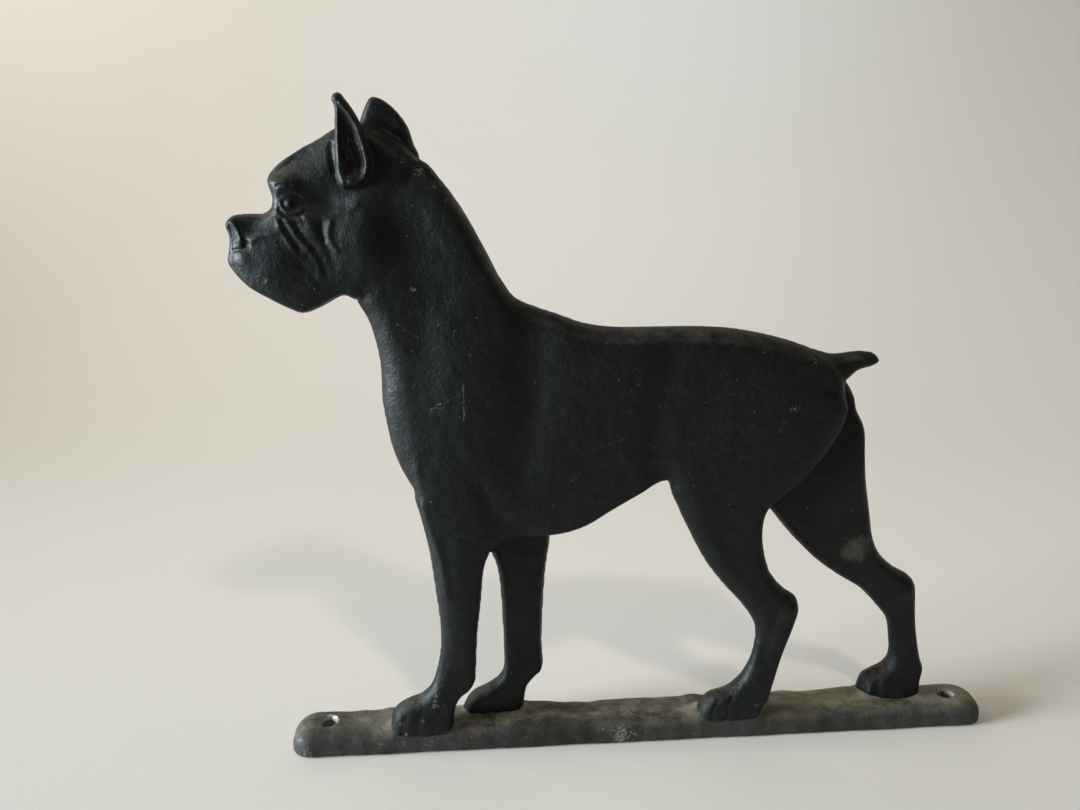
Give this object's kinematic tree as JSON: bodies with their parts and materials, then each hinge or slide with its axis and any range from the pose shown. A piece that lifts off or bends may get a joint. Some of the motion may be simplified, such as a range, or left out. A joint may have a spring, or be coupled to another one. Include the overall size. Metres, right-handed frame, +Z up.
{
  "type": "cast hound ornament on a plank",
  "caption": "Flat cast figure of a standing hound in low relief, screwed from below to a long narrow plank with a countersunk fixing hole at each end.",
  "frame": {"origin": "middle of the plank's flat underside", "axes": "+X along the plank, with the hound's head towards -X; +Y across the plank, towards the hound's right flank; +Z up"},
  "size_m": [0.3072, 0.022, 0.2612],
  "materials": {
    "figure_paint": "satin black paint over sand-cast aluminium",
    "plank_paint": "worn satin black paint over sand-cast aluminium, dusty on top",
    "screw_steel": "zinc-plated"
  },
  "bodies": {
    "root": {"dog_figure": "figure_paint", "base_plank": "plank_paint", "foot_screw_front_near": "screw_steel", "foot_screw_front_far": "screw_steel", "foot_screw_hind_near": "screw_steel", "foot_screw_hind_far": "screw_steel"}
  },
  "joints": []
}
